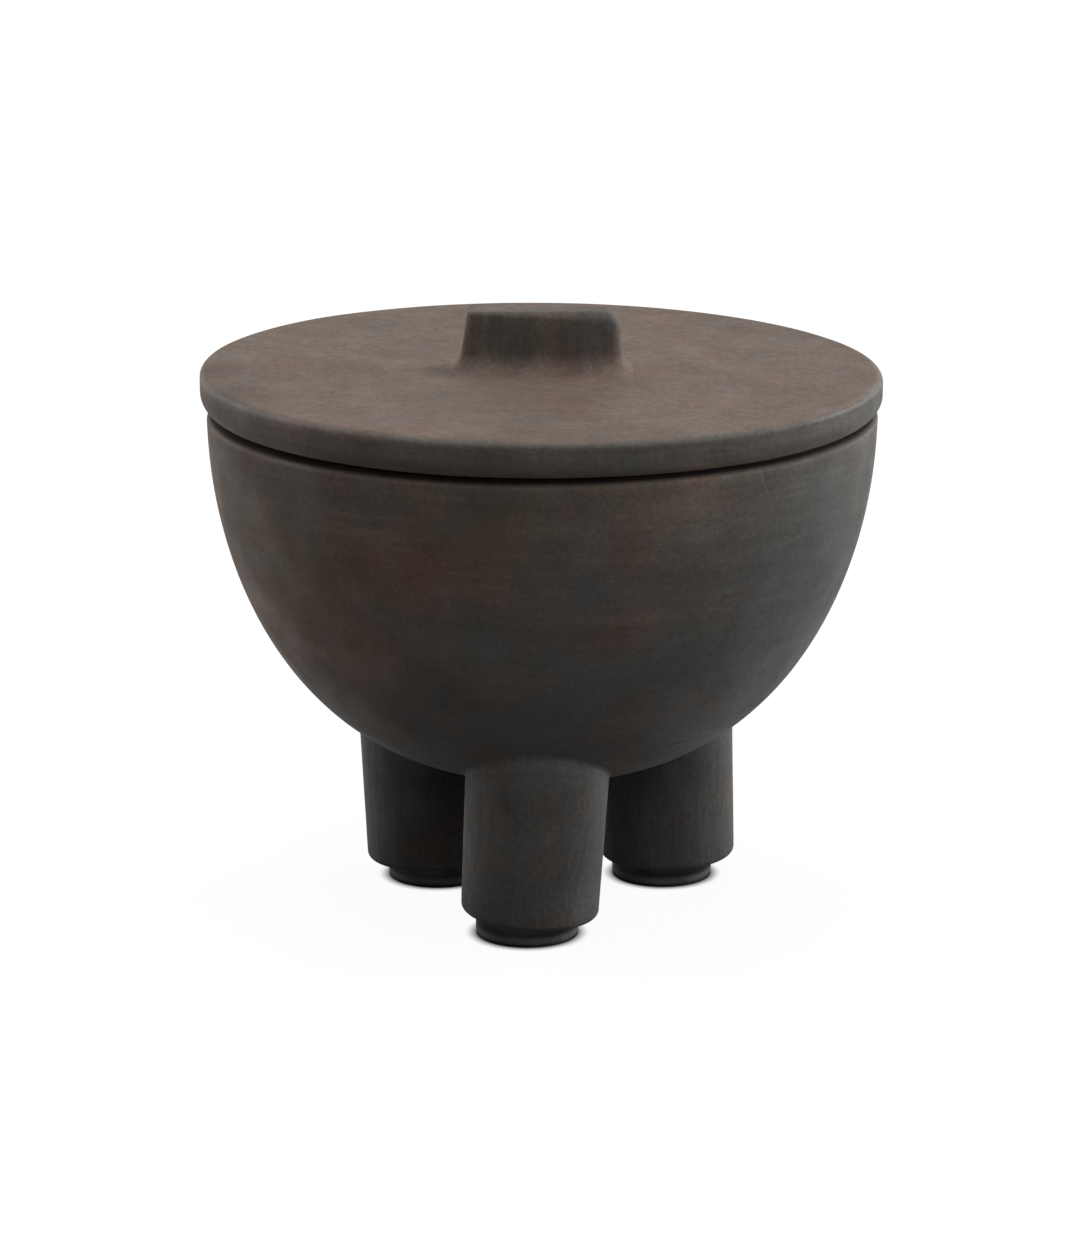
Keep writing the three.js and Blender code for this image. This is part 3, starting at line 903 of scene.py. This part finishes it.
def pale_floor():
    """A pale matte sheet: white to the camera but for the object's faint shadow and a painted
    contact shade, a dark line where the pads touch it, and dark to scattered light, so that it
    doesn't light the object from below. Its own glow makes up what the sheet lacks to white; in
    gloss, the sheet under the pot lies in the pot's shade."""
    material, tree = new_material("pale_paper_sheet")
    place = add_node(tree, "ShaderNodeTexCoord", output="Object")
    path = add_node(tree, "ShaderNodeLightPath", output=None)
    seen = seen_straight_or_mirrored(tree, path)
    colour = add_node(tree, "ShaderNodeMix", {
        0: seen, 6: linear("#303030"), 7: linear("#5A5A5A"),
    }, 2, data_type="RGBA")
    sheet = add_node(tree, "ShaderNodeBsdfDiffuse", {"Color": colour})
    away = add_node(tree, "ShaderNodeVectorMath", {0: place}, "Value", operation="LENGTH")
    level = add_node(tree, "ShaderNodeMapRange", {
        "Value": away, "From Min": 0.1, "From Max": 0.3, "To Min": 0.95, "To Max": 1.0,
    })
    shade = add_node(tree, "ShaderNodeMapRange", {
        "Value": away, "From Min": 0.045, "From Max": 0.11, "To Min": 0.15, "To Max": 1.0,
    })
    unshaded = add_node(tree, "ShaderNodeMath", {
        0: path["Is Camera Ray"], 1: shade,
    }, operation="MAXIMUM")
    # Painted contact shade: the glow darkens where the pads crowd the floor.
    open_sky = add_node(tree, "ShaderNodeAmbientOcclusion", {"Distance": 3 * MM}, "AO")
    contact_shade = add_node(tree, "ShaderNodeMapRange", {
        "Value": open_sky, "From Min": 0.45, "From Max": 0.95, "To Min": 0.0, "To Max": 1.0,
    })
    strength = seen
    for share in (level, contact_shade, unshaded):
        strength = add_node(tree, "ShaderNodeMath", {
            0: strength, 1: share,
        }, operation="MULTIPLY")
    glow = add_node(tree, "ShaderNodeEmission", {"Color": (1, 1, 1, 1), "Strength": strength})
    both = add_node(tree, "ShaderNodeAddShader", {0: sheet, 1: glow})
    add_node(tree, "ShaderNodeOutputMaterial", {"Surface": both}, None)
    return material


def floor():
    half = FLOOR_HALF_WIDTH
    mesh = bpy.data.meshes.new("floor")
    corners = [(-half, -half, 0), (half, -half, 0), (half, half, 0), (-half, half, 0)]
    mesh.from_pydata(corners, [], [(0, 1, 2, 3)])
    mesh.materials.append(pale_floor())
    sheet = link("floor", mesh)


def studio():
    world = bpy.data.worlds.new("studio")
    world.use_nodes = True
    tree = world.node_tree
    tree.nodes.clear()
    seen = seen_straight_or_mirrored(tree, add_node(tree, "ShaderNodeLightPath", output=None))
    fill = add_node(tree, "ShaderNodeMapRange", {"Value": seen, "To Min": 0.03, "To Max": 1.0})
    sky = add_node(tree, "ShaderNodeBackground", {"Color": (1, 1, 1, 1), "Strength": fill})
    add_node(tree, "ShaderNodeOutputWorld", {"Surface": sky}, None)
    bpy.context.scene.world = world
    cool = (0.9, 0.97, 1.0)
    area_light("overhead_softbox", 6.9, (0.9, 0.9), (0, 0, 1.2))
    area_light("front_softbox", 1.2, (1.0, 0.7), (0, -0.9, 0.95))
    area_light("right_front_softbox", 2.3, (0.8, 0.8), (0.8, -0.75, 0.6), colour=cool)
    area_light("right_rear_strip", 7.4, (0.6, 0.4), (1.1, 0.45, 0.26), colour=cool)
    area_light("left_rear_softbox", 4.1, (0.6, 0.8), (-1.0, 0.5, 0.5))


def camera():
    data = bpy.data.cameras.new("camera")
    data.sensor_width = SENSOR_MM
    data.lens = FOCAL_PX / IMAGE_HEIGHT_PX * SENSOR_MM
    back = Vector((0, -math.cos(CAMERA_PITCH), math.sin(CAMERA_PITCH)))
    eye = link("camera", data)
    eye.location = CAMERA_AIM + back * CAMERA_DISTANCE
    eye.rotation_euler = (-back).to_track_quat("-Z", "Y").to_euler()
    bpy.context.scene.camera = eye


floor()
studio()
camera()
bpy.context.scene.view_settings.view_transform = "Standard"
